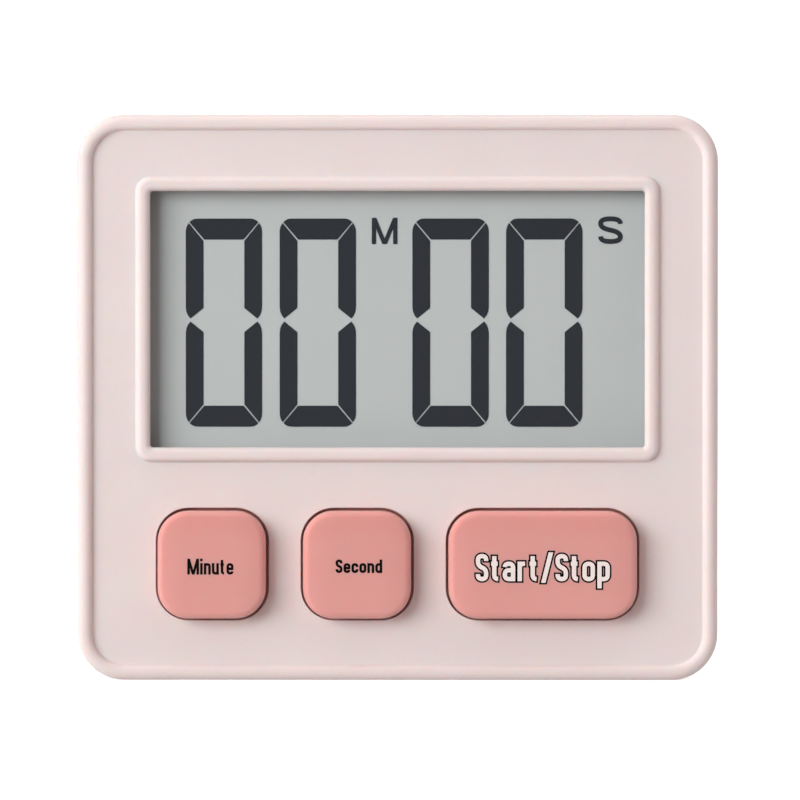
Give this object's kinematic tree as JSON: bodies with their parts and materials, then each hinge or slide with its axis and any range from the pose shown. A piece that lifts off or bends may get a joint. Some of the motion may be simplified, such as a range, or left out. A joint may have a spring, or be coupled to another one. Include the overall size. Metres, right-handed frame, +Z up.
{
  "type": "lab timer",
  "caption": "Upright countdown timer with a large liquid crystal display, a row of push buttons under it, a fold-out stand and back magnets.",
  "frame": {"origin": "middle of the bottom face of the case, halfway between the button crowns and the back", "axes": "+X to the right as the display is read, +Y from the display towards the back, +Z up"},
  "size_m": [0.085, 0.0212, 0.075],
  "materials": {
    "shell_plastic": "fine satin texture",
    "button_plastic": "satin",
    "window_plastic": "polished clear acrylic",
    "lcd_glass": "polished",
    "lcd_polarizer": "clear film",
    "lcd_reflector": "satin film",
    "lcd_segment": "dark segment",
    "legend_black": "pad print",
    "legend_white": "pad print",
    "holder_plastic": "moulded",
    "zebra_rubber": "layered silicone",
    "board_laminate": "solder mask",
    "black_resin": "glossy",
    "steel": "nickel plated",
    "magnet_nickel": "nickel plated",
    "silicone": "translucent silicone",
    "carbon_rubber": "matt",
    "capacitor_sleeve": "shrunk sleeve",
    "component_ceramic": "glazed",
    "ferrite": "matt",
    "cell_label": "printed label on a metal can",
    "brass": "satin",
    "piezo_ceramic": "silvered",
    "wire_red": "insulation",
    "wire_black": "insulation"
  },
  "bodies": {
    "case": {"front_shell": "shell_plastic", "rear_shell": "shell_plastic", "magnet_left": "magnet_nickel", "magnet_right": "magnet_nickel", "case_screw_1": "steel", "case_screw_2": "steel", "case_screw_3": "steel", "case_screw_4": "steel", "lcd_window": "window_plastic", "lcd_front_polarizer": "lcd_polarizer", "lcd_front_glass": "lcd_glass", "lcd_rear_glass": "lcd_glass", "lcd_rear_reflector": "lcd_reflector", "lcd_holder": "holder_plastic", "zebra_strip": "zebra_rubber", "minute_dome": "silicone", "second_dome": "silicone", "start_stop_dome": "silicone", "main_board": "board_laminate", "chip_blob": "black_resin", "transistor": "black_resin", "crystal": "steel", "capacitor_1": "capacitor_sleeve", "capacitor_2": "component_ceramic", "resistor": "component_ceramic", "inductor": "ferrite", "board_screw_1": "steel", "board_screw_2": "steel", "board_screw_3": "steel", "board_screw_4": "steel", "battery_cell": "cell_label", "battery_spring": "steel", "battery_positive_plate": "steel", "battery_wire_negative": "wire_black", "battery_wire_positive": "wire_red", "buzzer_brass_disc": "brass", "buzzer_ceramic": "piezo_ceramic", "buzzer_wire_red": "wire_red", "buzzer_wire_black": "wire_black"},
    "battery_door": {"battery_door": "shell_plastic"},
    "stand": {"stand": "shell_plastic"},
    "minute_button": {"minute_button": "button_plastic", "minute_carbon_pill": "carbon_rubber"},
    "second_button": {"second_button": "button_plastic", "second_carbon_pill": "carbon_rubber"},
    "start_stop_button": {"start_stop_button": "button_plastic", "start_stop_carbon_pill": "carbon_rubber"}
  },
  "joints": [
    {"name": "minute_press", "type": "slide", "parent": "case", "child": "minute_button", "axis": [0, 1, 0], "range_m": [0, 0.001], "stiffness_N_per_m": 800, "springref_m": -0.0005, "deforming": ["minute_dome"]},
    {"name": "second_press", "type": "slide", "parent": "case", "child": "second_button", "axis": [0, 1, 0], "range_m": [0, 0.001], "stiffness_N_per_m": 800, "springref_m": -0.0005, "deforming": ["second_dome"]},
    {"name": "start_stop_press", "type": "slide", "parent": "case", "child": "start_stop_button", "axis": [0, 1, 0], "range_m": [0, 0.001], "stiffness_N_per_m": 800, "springref_m": -0.0005, "deforming": ["start_stop_dome"]},
    {"name": "stand_hinge", "type": "hinge", "parent": "case", "child": "stand", "pos_m": [0, 0.00935, 0.0464], "axis": [1, 0, 0], "range_deg": [0, 35]},
    {"name": "battery_door_lift", "type": "slide", "parent": "case", "child": "battery_door", "axis": [0, 1, 0], "range_m": [0, 0.02]}
  ]
}
